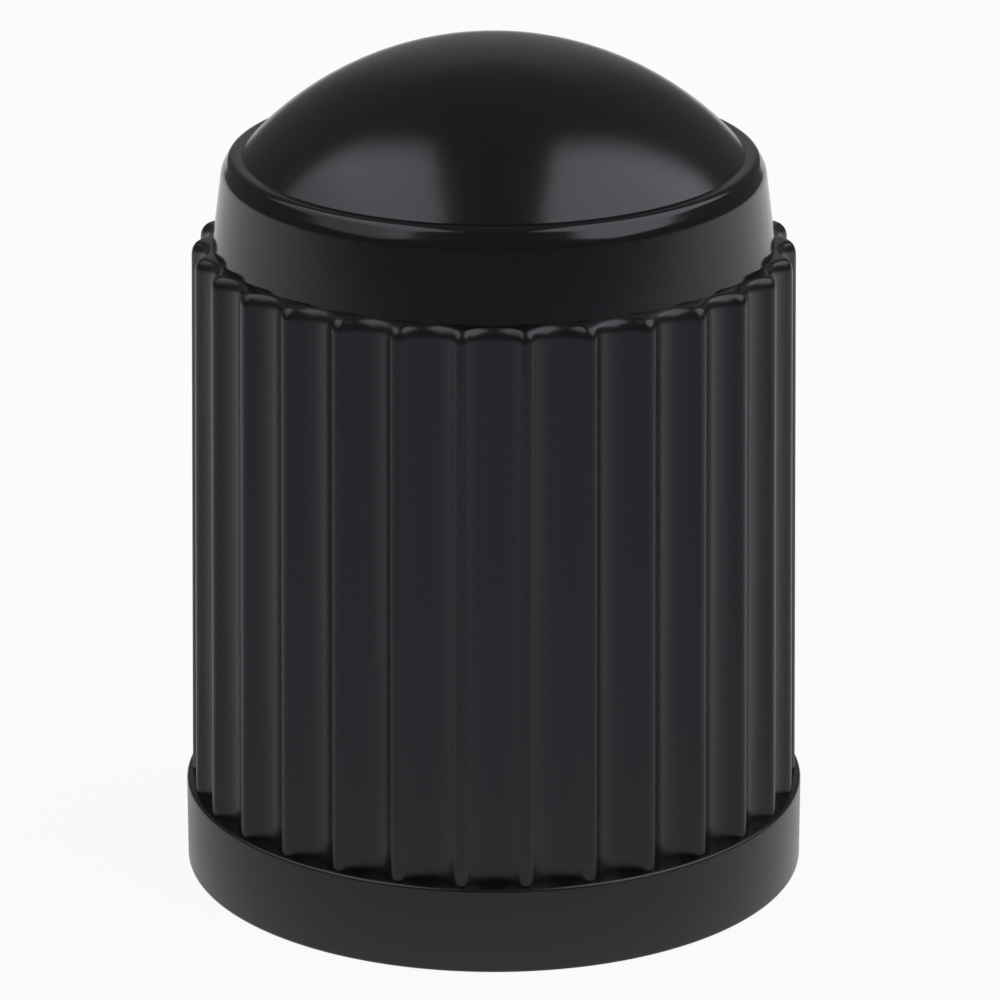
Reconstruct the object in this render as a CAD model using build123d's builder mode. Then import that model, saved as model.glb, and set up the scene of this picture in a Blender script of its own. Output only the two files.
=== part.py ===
from build123d import *
import os
from math import cos, pi, radians, sin, tan

# Tyre valve cap, one moulding that stands on its open mouth.
# Millimetres and degrees, +Z up the cap's axis, origin at the centre of the mouth.

# Valve thread
thread_diameter = 7.8  # over the roots of the thread
bore_depth = 9.8  # from the mouth to the seat

# Heights outside
base_height = 1.55
shoulder_rise = 1.65  # the shoulder, where the ribs end, above the seat
collar_height = 1.55
dome_height = 2.0

# Outside, built outwards from the bore
wall = 1.28  # between the bore and the groove floor, at the grip's foot
draft = 0.87  # the grip narrows upwards by this angle
base_step = 0.1  # the base ring stands proud of the rib crests
base_bevel = 0.06  # on the ring's upper and lower edges

# Grip, narrow ribs between round grooves
rib_count = 30
rib_depth = 0.22  # crest above groove floor
crest_width = 0.15  # left between two grooves, before its edges are rounded
rib_round = 0.1

# Shoulder, where ribs and grooves lean in to the collar
tip_height = 0.25
tip_inset = 0.06  # the crests come this much nearer to the groove floor
shoulder_step = 0.15  # the groove floor comes in by this

# Collar, rim, ledge and dome
collar_angle = 7.4
lip_rise = 0.08  # the rim stands above the ledge
rim_round = 0.14
ledge_width = 0.25

# Inside
lead_in_clearance = 0.25
lead_in_depth = 1.0
mouth_chamfer = 0.25
seat_width = 0.9
crown_wall = 2.0  # over the recess, at the apex
recess_bevel = 1.0  # the core pin's end

# Heights from the mouth
shoulder_z = bore_depth + shoulder_rise
tip_z = shoulder_z - tip_height
ledge_z = shoulder_z + collar_height
apex_z = ledge_z + dome_height
recess_top_z = apex_z - crown_wall

# Radii from the axis
bore_radius = thread_diameter / 2
floor_foot_radius = bore_radius + wall
floor_tip_radius = floor_foot_radius - (tip_z - base_height) * tan(radians(draft))
collar_foot_radius = floor_tip_radius - shoulder_step
crest_foot_radius = floor_foot_radius + rib_depth
base_radius = crest_foot_radius + base_step
rim_radius = collar_foot_radius - (collar_height + lip_rise) * tan(radians(collar_angle))
dome_radius = rim_radius - ledge_width
lead_in_radius = bore_radius + lead_in_clearance
recess_radius = bore_radius - seat_width


def groove_radius(floor_radius, crest_radius):
    """The round groove that leaves a crest of the named width on each side of it."""
    half_turn = pi / rib_count - crest_width / 2 / crest_radius
    edge_rise = crest_radius * cos(half_turn) - floor_radius
    half_width = crest_radius * sin(half_turn)
    return (half_width**2 + edge_rise**2) / (2 * edge_rise)


with BuildPart() as valve_cap:
    # Base ring
    with BuildSketch(Plane.XZ):
        with BuildLine():
            Polyline(
                (0, 0),
                (base_radius - base_bevel, 0),
                (base_radius, base_bevel),
                (base_radius, base_height - base_bevel),
                (base_radius - base_bevel, base_height),
                (0, base_height),
                close=True,
            )
        make_face()
    revolve(axis=Axis.Z)

    # Ribbed grip, drawn at its foot, where the tips start to lean in and at the shoulder
    for height, floor_radius, crest_height in (
        (base_height, floor_foot_radius, rib_depth),
        (tip_z, floor_tip_radius, rib_depth),
        (shoulder_z, collar_foot_radius, rib_depth - tip_inset),
    ):
        crest_radius = floor_radius + crest_height
        groove = groove_radius(floor_radius, crest_radius)
        with BuildSketch(Plane.XY.offset(height).rotated((0, 0, -90))) as grip_plan:
            Circle(crest_radius)
            with PolarLocations(floor_radius + groove, rib_count):  # one faces the front
                Circle(groove, mode=Mode.SUBTRACT)
            fillet(grip_plan.vertices(), rib_round)
    loft(ruled=True)

    # Collar, rim, ledge and dome
    with BuildSketch(Plane.XZ):
        with BuildLine():
            FilletPolyline(
                (0, shoulder_z),
                (collar_foot_radius, shoulder_z),
                (rim_radius, ledge_z + lip_rise),
                (dome_radius, ledge_z),
                radius=(0, rim_round),
            )
            TangentArc((0, apex_z), (dome_radius, ledge_z), tangent=(1, 0))
            Line((0, apex_z), (0, shoulder_z))
        make_face()
    revolve(axis=Axis.Z)

    # Inside: mouth chamfer, lead-in, bore, seat and the recess that keeps the crown's wall even
    with BuildSketch(Plane.XZ):
        with BuildLine():
            Polyline(
                (0, 0),
                (lead_in_radius + mouth_chamfer, 0),
                (lead_in_radius, mouth_chamfer),
                (lead_in_radius, lead_in_depth),
                (bore_radius, lead_in_depth + lead_in_clearance),
                (bore_radius, bore_depth),
                (recess_radius, bore_depth),
                (recess_radius, recess_top_z - recess_bevel),
                (recess_radius - recess_bevel, recess_top_z),
                (0, recess_top_z),
                close=True,
            )
        make_face()
    revolve(axis=Axis.Z, mode=Mode.SUBTRACT)

valve_cap.part.label = "valve_cap"

os.makedirs("parts", exist_ok=True)
export_step(valve_cap.part, "parts/valve_cap.step")
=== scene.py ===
from math import asin, cos, pi, radians, sin, tan

import bmesh
import bpy
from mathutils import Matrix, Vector


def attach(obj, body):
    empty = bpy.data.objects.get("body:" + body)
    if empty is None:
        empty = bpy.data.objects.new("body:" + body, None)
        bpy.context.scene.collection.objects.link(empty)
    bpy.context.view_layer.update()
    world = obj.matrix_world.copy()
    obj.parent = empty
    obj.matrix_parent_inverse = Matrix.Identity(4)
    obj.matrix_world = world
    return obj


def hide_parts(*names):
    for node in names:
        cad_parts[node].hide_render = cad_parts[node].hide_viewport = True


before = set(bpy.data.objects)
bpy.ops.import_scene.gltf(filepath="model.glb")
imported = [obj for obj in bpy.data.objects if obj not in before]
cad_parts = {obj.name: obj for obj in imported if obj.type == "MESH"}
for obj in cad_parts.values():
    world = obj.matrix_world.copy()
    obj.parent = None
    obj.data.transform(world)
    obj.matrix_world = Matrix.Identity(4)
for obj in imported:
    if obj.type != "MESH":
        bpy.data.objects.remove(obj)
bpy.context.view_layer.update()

scene = bpy.context.scene
scene.view_settings.view_transform = "Standard"
mm = 0.001  # sizes below are in millimetres, and Blender's are in metres


class Wire:  # an output of a node, so that sums on it can be written as Python expressions
    def __init__(self, graph, socket):
        self.graph = graph
        self.socket = socket

    def of(self, name):  # another output of the same node
        return Wire(self.graph, self.socket.node.outputs[name])

    def maths(self, operation, *others, swap=False):
        terms = [*others, self] if swap else [self, *others]
        return self.graph.add("ShaderNodeMath", {"operation": operation}, dict(enumerate(terms)))

    def __add__(self, other): return self.maths("ADD", other)
    def __radd__(self, other): return self.maths("ADD", other, swap=True)
    def __sub__(self, other): return self.maths("SUBTRACT", other)
    def __rsub__(self, other): return self.maths("SUBTRACT", other, swap=True)
    def __mul__(self, other): return self.maths("MULTIPLY", other)
    def __rmul__(self, other): return self.maths("MULTIPLY", other, swap=True)
    def __truediv__(self, other): return self.maths("DIVIDE", other)
    def __rtruediv__(self, other): return self.maths("DIVIDE", other, swap=True)
    def __gt__(self, other): return self.maths("GREATER_THAN", other)


class Graph:  # a node tree that the script fills
    def __init__(self, tree):
        self.tree = tree
        tree.nodes.clear()

    # A new node, its settings first and then its sockets by name or number; a list is several links to one
    def add(self, kind, settings=None, sockets=None, output=0):
        node = self.tree.nodes.new(kind)
        for name, value in (settings or {}).items():
            setattr(node, name, value)
        for key, value in (sockets or {}).items():
            for one in value if isinstance(value, list) else [value]:
                if isinstance(one, Wire):
                    self.tree.links.new(one.socket, node.inputs[key])
                else:
                    node.inputs[key].default_value = one
        return Wire(self, node.outputs[output]) if len(node.outputs) else node

    def ramp(self, value, low, high, fromLow=0.0, fromHigh=1.0):  # a smooth step from one number to another
        return self.add("ShaderNodeMapRange", {"interpolation_type": "SMOOTHSTEP"},
                        {0: value, 1: fromLow, 2: fromHigh, 3: low, 4: high})

    def tint(self, share, first, second):  # one colour turning into another
        return self.add("ShaderNodeMix", {"data_type": "RGBA"}, {0: share, 6: first, 7: second}, 2)


# The cap in millimetres and degrees: the CAD model's sizes, with a softer rim and a thread
capSizes = {
    "baseRadius": 5.5, "baseHeight": 1.55, "baseEdge": 0.06,
    "floorFoot": 5.18, "floorTip": 5.033, "tipHeight": 0.25, "tipInset": 0.06, "shoulder": 11.45,
    "collarFoot": 4.883, "collarAngle": 7.4, "collarTop": 12.76,
    "rimAngle": 28, "rimRound": 0.4, "ledge": 13.04, "ledgeRound": 0.15,
    "domeRadius": 4.355, "apex": 15.0,
    "mouthRadius": 4.4, "leadInRadius": 4.15, "leadInDepth": 1.0,
    "boreRadius": 3.9, "boreDepth": 9.8,
    "recessRadius": 3.0, "recessBevel": 1.0, "recessTop": 13.0,
    "inputs": {  # of the node tree
        "Rib Count": 30, "Rib Depth": 0.22, "Crest Width": 0.15, "Crest Blend": 0.06,
        "Thread Pitch": 0.794, "Thread Height": 0.4, "Thread Crest": 0.1, "Thread Flank": 0.23,
        "Columns Per Rib": 24, "Bore Columns": 168,
    },
    "rows": {"dome": 18, "collar": 5, "tips": 8, "grip": 8, "threadPitch": 16, "recess": 4},
    "mergeWithin": 0.001, "sharpFrom": 38, "threadMargin": 0.01, "threadTopGap": 0.1,
}


def between(start, end, count):  # evenly spaced values, both ends included
    return [start + (end - start) * i / count for i in range(count + 1)]


# Points along a wall, with one close to each end to keep it flat
def straight(start, end, count=3, guard=0.03):
    a, b = Vector(start), Vector(end)
    along = (b - a).normalized() * guard
    inner = [a + along + (b - a - 2 * along) * i / count for i in range(count + 1)]
    return [tuple(p) for p in (a, *inner, b)]


# An arc between two walls that would meet at the corner, their normals in degrees
def roundEdge(corner, firstNormal, lastNormal, size, count=6):
    first, last = radians(firstNormal), radians(lastNormal)
    reach = size / (1 + cos(radians(firstNormal - lastNormal)))
    centre = [c - reach * (f(first) + f(last)) for c, f in zip(corner, (cos, sin))]
    return [(centre[0] + size * cos(radians(a)), centre[1] + size * sin(radians(a)))
            for a in between(firstNormal, lastNormal, count)]


# Radius, height, share of the ribs and how far their crests are drawn in, from the apex down
def outsideRows(s):
    counts = s["rows"]
    domeRise = s["apex"] - s["ledge"]
    domeBall = (s["domeRadius"] ** 2 + domeRise ** 2) / (2 * domeRise)
    dome = [(domeBall * sin(a), s["apex"] - domeBall * (1 - cos(a)))
            for a in between(0, asin(s["domeRadius"] / domeBall), counts["dome"])]
    topRadius = s["collarFoot"] - (s["collarTop"] - s["shoulder"]) * tan(radians(s["collarAngle"]))
    ledgeRadius = topRadius - (s["ledge"] - s["collarTop"]) * tan(radians(s["rimAngle"]))
    ledge = roundEdge((ledgeRadius, s["ledge"]), 90, s["rimAngle"], s["ledgeRound"])
    rim = roundEdge((topRadius, s["collarTop"]), s["rimAngle"], s["collarAngle"], s["rimRound"])
    collar = straight(rim[-1], (s["collarFoot"], s["shoulder"]), counts["collar"])
    upper = dome + straight(dome[-1], ledge[0], 1)[1:] + ledge[1:] + straight(ledge[-1], rim[0], 1)[1:]
    rows = [(*p, 0, 0) for p in upper + rim[1:] + collar[1:]]
    tipFoot = s["shoulder"] - s["tipHeight"]
    for a in between(0, pi / 2, counts["tips"]):  # ribs and grooves curve in to the collar
        lean = 1 - sin(a)
        floor = s["floorTip"] - (s["floorTip"] - s["collarFoot"]) * lean
        rows.append((floor, tipFoot + s["tipHeight"] * cos(a), 1, s["tipInset"] * lean))
    grip = straight((s["floorTip"], tipFoot), (s["floorFoot"], s["baseHeight"]), counts["grip"])
    rows += [(*p, 1, 0) for p in grip[1:]]
    ringTop = roundEdge((s["baseRadius"], s["baseHeight"]), 90, 0, s["baseEdge"])
    ringFoot = roundEdge((s["baseRadius"], 0), 0, -90, s["baseEdge"])
    rows += [(*p, 0, 0) for p in ringTop + straight(ringTop[-1], ringFoot[0])[1:] + ringFoot[1:]]
    return rows


def insideRows(s):  # radius, height and share of the thread, from the mouth up
    leadIn, recess, pitch = s["leadInRadius"], s["recessRadius"], s["inputs"]["Thread Pitch"]
    mouth = [(s["mouthRadius"], 0), (leadIn, s["mouthRadius"] - leadIn), (leadIn, s["leadInDepth"])]
    start, end = s["leadInDepth"] + leadIn - s["boreRadius"], s["boreDepth"]
    rows = [(*p, 0) for p in mouth]
    for z in between(start, end, round((end - start) / pitch * s["rows"]["threadPitch"])):
        runOut = min((z - start) / pitch, (end - pitch / 2 - z) / pitch)  # the thread fades at both ends
        rows.append((s["boreRadius"], z, max(0, min(1, runOut))))
    rows += [(recess, end, 0), (recess, s["recessTop"] - s["recessBevel"], 0)]
    rows += [(r, s["recessTop"], 0) for r in between(recess - s["recessBevel"], 0, s["rows"]["recess"])]
    return rows


def sectionMesh(outside, inside):  # two chains of edges whose points carry the rows' values
    rows = [(r, z, share, inset, 0, 0) for r, z, share, inset in outside]
    rows += [(r, z, 0, 0, share, 1) for r, z, share in inside]
    links = [(i, i + 1) for i in range(len(rows) - 1) if i != len(outside) - 1]
    mesh = bpy.data.meshes.new("capSection")
    mesh.from_pydata([(r, 0, z) for r, z, *_ in rows], links, [])
    names = ("sectionRadius", "sectionHeight", "ribShare", "ribInset", "threadShare", "inside")
    for name, column in zip(names, zip(*rows)):
        mesh.attributes.new(name, "FLOAT", "POINT").data.foreach_set("value", column)
    return mesh


def mouldingTree():
    tree = bpy.data.node_groups.new("capMoulding", "GeometryNodeTree")
    sockets = tree.interface.new_socket
    sockets("Section", in_out="INPUT", socket_type="NodeSocketGeometry")
    for name, value in {**capSizes["inputs"], "Foot Radius": 0.0, "Mouth Radius": 0.0}.items():
        kind = "NodeSocketInt" if isinstance(value, int) else "NodeSocketFloat"
        sockets(name, in_out="INPUT", socket_type=kind)
    sockets("Material", in_out="INPUT", socket_type="NodeSocketMaterial")
    sockets("Cap", in_out="OUTPUT", socket_type="NodeSocketGeometry")
    g = Graph(tree)
    given = g.add("NodeGroupInput").of

    def stored(name):
        return g.add("GeometryNodeInputNamedAttribute", {"data_type": "FLOAT"}, {"Name": name})

    def circle(columns, radius):
        return g.add("GeometryNodeCurvePrimitiveCircle", {"mode": "RADIUS"},
                     {"Resolution": columns, "Radius": radius})

    def sweep(section, columns):  # the section once round the axis, each column knowing its turn
        turn = g.add("GeometryNodeInputIndex") / columns * (2 * pi)
        path = g.add("GeometryNodeStoreNamedAttribute", {"data_type": "FLOAT", "domain": "POINT"},
                     {"Geometry": circle(columns, 1.0), "Name": "turn", "Value": turn})
        profile = g.add("GeometryNodeMeshToCurve", {}, {"Mesh": section})
        return g.add("GeometryNodeCurveToMesh", {}, {"Curve": path, "Profile Curve": profile})

    def setRound(mesh, radius):  # each point at its radius, turn and height
        turn = stored("turn")
        x, y = radius * turn.maths("COSINE") * mm, radius * turn.maths("SINE") * mm
        spot = g.add("ShaderNodeCombineXYZ", {}, {0: x, 1: y, 2: stored("sectionHeight") * mm})
        return g.add("GeometryNodeSetPosition", {}, {"Geometry": mesh, "Position": spot})

    parted = g.add("GeometryNodeSeparateGeometry", {"domain": "POINT"},
                   {"Geometry": given("Section"), "Selection": stored("inside") > 0.5})
    radius = stored("sectionRadius")

    # Round grooves side by side, with what stands between them rounded off at the crests
    depth = given("Rib Depth") - stored("ribInset")
    crest = radius + depth
    ribTurn = 2 * pi / given("Rib Count")
    halfTurn = ribTurn / 2 - given("Crest Width") / 2 / crest
    edgeRise = crest * halfTurn.maths("COSINE") - radius
    halfWidth = crest * halfTurn.maths("SINE")
    groove = (halfWidth * halfWidth + edgeRise * edgeRise) / (edgeRise * 2)
    fromFront = (stored("turn") + pi / 2) / ribTurn  # in ribs, and a groove faces the front
    fromGroove = ((fromFront + 0.5).maths("FRACT") - 0.5) * ribTurn
    across = (radius + groove) * fromGroove.maths("SINE")
    wall = (groove * groove - across * across).maths("MAXIMUM", 0).maths("SQRT")
    rise = (radius + groove) * fromGroove.maths("COSINE") - wall - radius
    rise = rise.maths("SMOOTH_MIN", depth, given("Crest Blend")) * stored("ribShare")
    outerColumns = given("Rib Count") * given("Columns Per Rib")
    outside = setRound(sweep(parted.of("Inverted"), outerColumns), radius + rise)

    # The thread: ridges that climb one pitch a turn, right-handed
    pitch = given("Thread Pitch")
    climb = stored("sectionHeight") / pitch - stored("turn") / (2 * pi)
    fromRidge = (climb.maths("FRACT") - 0.5).maths("ABSOLUTE") * pitch
    ridge = g.ramp(fromRidge, 1, 0, given("Thread Crest"), given("Thread Crest") + given("Thread Flank"))
    ridgeHeight = ridge * given("Thread Height") * stored("threadShare")
    boreColumns = given("Bore Columns")
    inside = setRound(sweep(parted, boreColumns), radius - ridgeHeight)

    # The flat mouth between the two sweeps
    rings = g.add("GeometryNodeJoinGeometry", {}, {0: [
        circle(outerColumns, given("Foot Radius") * mm), circle(boreColumns, given("Mouth Radius") * mm)]})
    mouth = g.add("GeometryNodeFillCurve", {}, {"Curve": rings})

    whole = g.add("GeometryNodeJoinGeometry", {}, {0: [outside, inside, mouth]})
    whole = g.add("GeometryNodeMergeByDistance", {},
                  {"Geometry": whole, "Distance": capSizes["mergeWithin"] * mm})
    whole = g.add("GeometryNodeSetShadeSmooth", {}, {"Geometry": whole})
    whole = g.add("GeometryNodeRealizeInstances", {}, {"Geometry": whole})
    whole = g.add("GeometryNodeSetMaterial", {}, {"Geometry": whole, "Material": given("Material")})
    g.add("NodeGroupOutput", {}, {"Cap": whole})
    return tree


def mouldCap(name, material):
    s = capSizes
    source = bpy.data.objects.new("capSection", sectionMesh(outsideRows(s), insideRows(s)))
    scene.collection.objects.link(source)
    moulding = source.modifiers.new("moulding", "NODES")
    moulding.node_group = mouldingTree()
    values = {**s["inputs"], "Material": material,
              "Foot Radius": s["baseRadius"] - s["baseEdge"], "Mouth Radius": s["mouthRadius"]}
    for item in moulding.node_group.interface.items_tree:
        if item.in_out == "INPUT" and item.name in values:
            moulding[item.identifier] = values[item.name]
    depsgraph = bpy.context.evaluated_depsgraph_get()
    mesh = bpy.data.meshes.new_from_object(source.evaluated_get(depsgraph), depsgraph=depsgraph)
    source.modifiers.remove(moulding)
    bpy.data.objects.remove(source)
    shell = bmesh.new()
    shell.from_mesh(mesh)
    bmesh.ops.recalc_face_normals(shell, faces=shell.faces)
    openEdges = sum(not e.is_manifold for e in shell.edges)
    print("cap moulded:", len(shell.faces), "faces,", openEdges, "open edges, volume",
          round(shell.calc_volume(signed=True) / mm ** 3, 1), "cubic mm")
    shell.to_mesh(mesh)
    shell.free()
    mesh.set_sharp_from_angle(angle=radians(s["sharpFrom"]))
    threadRadius, threadTop = s["boreRadius"] + s["threadMargin"], s["boreDepth"] - s["threadTopGap"]
    threaded = [v.co.xy.length < threadRadius * mm and s["leadInDepth"] < v.co.z / mm < threadTop
                for v in mesh.vertices]
    for edge in mesh.edges:  # the ridges stay smooth
        if all(threaded[i] for i in edge.vertices):
            edge.use_edge_sharp = False
    cap = bpy.data.objects.new(name, mesh)
    scene.collection.objects.link(cap)
    return cap


# Black moulded plastic: a polished collar and dome, a less polished ring and satin ribs, faintly mottled
plasticLook = {
    "colour": (0.0050, 0.0049, 0.0060, 1), "paler": (0.0085, 0.0083, 0.0098, 1), "ior": 1.5,
    "domeRough": 0.18, "collarRough": 0.14, "ribRough": 0.27, "ringRough": 0.2,
    "domeBlend": (0, 0.04), "collarBlend": (-0.05, 0.05), "ribBlend": (-0.02, 0.02),
    "flowPerMm": 0.45, "flowDetail": 3.0, "flowRough": (0.85, 0.3),
    "grainPerMm": 11.0, "grainDetail": 4.0, "grainRough": 0.06, "grain": 0.05, "grainDepth": 0.01,
}


def blackPlastic():
    look, s = plasticLook, capSizes
    material = bpy.data.materials.new("blackPlastic")
    material.use_nodes = True
    g = Graph(material.node_tree)
    spot = g.add("ShaderNodeTexCoord", output="Object")
    spot = g.add("ShaderNodeVectorMath", {"operation": "SCALE"}, {0: spot, "Scale": 1 / mm})
    height = g.add("ShaderNodeSeparateXYZ", {}, {0: spot}, "Z")

    def above(level, blend):  # 0 below a height and 1 above it
        return g.ramp(height, 0, 1, level + blend[0], level + blend[1])

    def noise(perMm, detail):
        return g.add("ShaderNodeTexNoise", {}, {"Vector": spot, "Scale": perMm, "Detail": detail})

    dome = above(s["ledge"], look["domeBlend"])
    collar = above(s["shoulder"], look["collarBlend"])
    ribs = above(s["baseHeight"], look["ribBlend"])
    flow = noise(look["flowPerMm"], look["flowDetail"])
    grain = noise(look["grainPerMm"], look["grainDetail"])
    rough = look["ringRough"] + ribs * (look["ribRough"] - look["ringRough"])
    rough = rough + collar * (look["collarRough"] - look["ribRough"])
    rough = rough + dome * (look["domeRough"] - look["collarRough"])
    least, spread = look["flowRough"]
    rough = rough * (least + spread * flow) + (grain - 0.5) * look["grainRough"]
    colour = g.tint(flow, look["colour"], look["paler"])
    bump = g.add("ShaderNodeBump", {}, {
        "Strength": look["grain"], "Distance": look["grainDepth"] * mm, "Height": grain})
    surface = g.add("ShaderNodeBsdfPrincipled", {}, {
        "Base Color": colour, "Roughness": rough, "Normal": bump, "IOR": look["ior"]})
    g.add("ShaderNodeOutputMaterial", {}, {"Surface": surface})
    return material


cap = mouldCap("ribbed_cap", blackPlastic())
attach(cap, "root")
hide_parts("valve_cap")
print("cap in place")


# The studio in millimetres and degrees: a round pale floor, a dim room and a soft box on each side
studio = {
    "white": (1, 1, 1, 1), "black": (0, 0, 0, 1),
    "floorRadius": 150, "floorSides": 128, "floorDrop": 0.01,
    "floorGrey": (0.65, 0.642, 0.7, 1), "floorWhite": (0.96, 0.96, 0.96, 1), "floorShadow": 0.08,
    # The floor's painted light and shade in the cap's gloss: painted light at the cap's sides and behind
    # it, darker ahead, painted shade close to the cap
    "glossNear": 4.2, "glossFall": 1.5, "asideFrom": (-0.9, 0.2),
    "paintedLightAside": (0.6, 0.73), "leftToRight": (-0.5, 0.5), "paintedShadeByCap": 0.6, "byCap": (5, 50),
    "room": (0.12, 0.118, 0.13, 1), "behind": (0.25, 0.25, 0.25, 1), "roomInGloss": 0.01,
    "behindAside": (0.1, 0.35), "behindHigh": (0.5, 0.7), "behindBack": (0.3, 0.6),
    "boxDistance": 300, "boxElevation": 51, "boxTall": 265, "boxFront": -240, "boxBack": {-1: 140, 1: 200},
    "boxGlow": {-1: 4.8, 1: 5.3}, "boxColour": (0.99, 0.975, 1.06, 1), "boxFade": (85, 175),
    "boxLow": {-1: 0.45, 1: 1}, "boxLowFade": (180, 250),
}


def whiteShare(g, toCamera, inGloss):  # how much of the plain white each kind of ray meets
    path = g.add("ShaderNodeLightPath")
    gloss = path.of("Is Glossy Ray").maths("MAXIMUM", path.of("Is Transmission Ray"))
    return path.of("Is Camera Ray") * toCamera + gloss * inGloss


def layFloor():
    disc = bmesh.new()
    bmesh.ops.create_circle(disc, cap_ends=True, segments=studio["floorSides"],
                            radius=studio["floorRadius"] * mm)
    mesh = bpy.data.meshes.new("floor")
    disc.to_mesh(mesh)
    disc.free()
    material = bpy.data.materials.new("paleFloor")
    material.use_nodes = True
    g = Graph(material.node_tree)
    toCamera = g.add("ShaderNodeLightPath").of("Is Camera Ray")
    colour = g.tint(toCamera, studio["floorGrey"], studio["floorWhite"])
    lit = g.add("ShaderNodeBsdfDiffuse", {}, {"Color": colour})
    plain = g.add("ShaderNodeEmission", {}, {"Color": studio["white"], "Strength": 1.0})

    # Painted light and shade on the floor, seen only in the cap's gloss: ahead of the cap it fades from
    # pale near the cap to dark further off, at its sides and behind it it is paler (painted light), and
    # painted shade dims it close to the cap
    spot = g.add("ShaderNodeTexCoord", output="Object")
    away = g.add("ShaderNodeVectorMath", {"operation": "LENGTH"}, {0: spot}, "Value")
    ahead = (studio["glossNear"] * mm / away).maths("POWER", studio["glossFall"])
    way = g.add("ShaderNodeSeparateXYZ", {}, {0: spot})
    aside = g.ramp(way.of("Y") / away, 0, 1, *studio["asideFrom"])
    level = g.ramp(way.of("X") / away, *studio["paintedLightAside"], *studio["leftToRight"])
    # painted shade on the floor close to the cap
    level = level * g.ramp(away, studio["paintedShadeByCap"], 1, *(edge * mm for edge in studio["byCap"]))
    inGloss = ahead + aside * (level - ahead)
    share = whiteShare(g, 1 - studio["floorShadow"], inGloss)
    surface = g.add("ShaderNodeMixShader", {}, {0: share, 1: lit, 2: plain})
    g.add("ShaderNodeOutputMaterial", {}, {"Surface": surface})
    mesh.materials.append(material)
    floor = bpy.data.objects.new("floor", mesh)
    floor.location.z = -studio["floorDrop"] * mm
    scene.collection.objects.link(floor)


def dimRoom():
    world = bpy.data.worlds.new("room")
    world.use_nodes = True
    g = Graph(world.node_tree)
    way = g.add("ShaderNodeSeparateXYZ", {}, {0: g.add("ShaderNodeTexCoord", output="Generated")})
    middle = g.ramp(way.of("X").maths("ABSOLUTE"), 1, 0, *studio["behindAside"])
    low = g.ramp(way.of("Z"), 1, 0, *studio["behindHigh"])
    back = g.ramp(way.of("Y"), 0, 1, *studio["behindBack"])
    colour = g.tint(low * back * middle, studio["room"], studio["behind"])
    room = g.add("ShaderNodeBackground", {}, {"Color": colour, "Strength": 1.0})
    plain = g.add("ShaderNodeBackground", {}, {"Color": studio["white"], "Strength": 1.0})
    share = whiteShare(g, 1, studio["roomInGloss"])
    surface = g.add("ShaderNodeMixShader", {}, {0: share, 1: room, 2: plain})
    g.add("ShaderNodeOutputWorld", {}, {"Surface": surface})
    scene.world = world


def hangSoftBox(name, side):
    front, back = studio["boxFront"], studio["boxBack"][side]
    lamp = bpy.data.lights.new(name, "AREA")
    lamp.shape = "RECTANGLE"
    lamp.size, lamp.size_y = (back - front) * mm, studio["boxTall"] * mm
    lamp.energy = studio["boxGlow"][side] * lamp.size * lamp.size_y
    lamp.use_nodes = True
    g = Graph(lamp.node_tree)
    spot = g.add("ShaderNodeSeparateXYZ", {}, {0: g.add("ShaderNodeNewGeometry", output="Position")})
    rise = radians(studio["boxElevation"])
    away = studio["boxDistance"]
    backUp = (spot.of("Y") + spot.of("Z") - away * sin(rise) * mm) / mm  # towards the upper back corner
    share = g.ramp(backUp, 1, 0, *studio["boxFade"])
    share = share * g.ramp(spot.of("Z") / mm, studio["boxLow"][side], 1, *studio["boxLowFade"])
    colour = g.tint(share, studio["black"], studio["boxColour"])
    glow = g.add("ShaderNodeEmission", {}, {"Color": colour, "Strength": 1.0})
    g.add("ShaderNodeOutputLight", {}, {"Surface": glow})
    box = bpy.data.objects.new(name, lamp)
    box.location = Vector((side * away * cos(rise), (front + back) / 2, away * sin(rise))) * mm
    box.rotation_euler = (radians(90) - rise, 0, side * radians(90))
    box.visible_camera = False
    scene.collection.objects.link(box)


# The camera, where the photograph was taken from: millimetres and degrees, but its clip is in metres
view = {
    "lens": 203.9, "sensor": 36, "shift": 0.0062, "clip": (0.001, 10),
    "distance": 100, "elevation": 19.6, "aimHeight": 6.65,
}


def setCamera():
    lens = bpy.data.cameras.new("camera")
    lens.lens, lens.sensor_width, lens.shift_x = view["lens"], view["sensor"], view["shift"]
    lens.clip_start, lens.clip_end = view["clip"]
    camera = bpy.data.objects.new("camera", lens)
    rise = radians(view["elevation"])
    back, up = view["distance"] * cos(rise), view["distance"] * sin(rise)
    camera.location = Vector((0, -back, view["aimHeight"] + up)) * mm
    camera.rotation_euler = (radians(90) - rise, 0, 0)
    scene.collection.objects.link(camera)
    scene.camera = camera


layFloor()
dimRoom()
hangSoftBox("leftBox", -1)
hangSoftBox("rightBox", 1)
setCamera()
print("studio set")
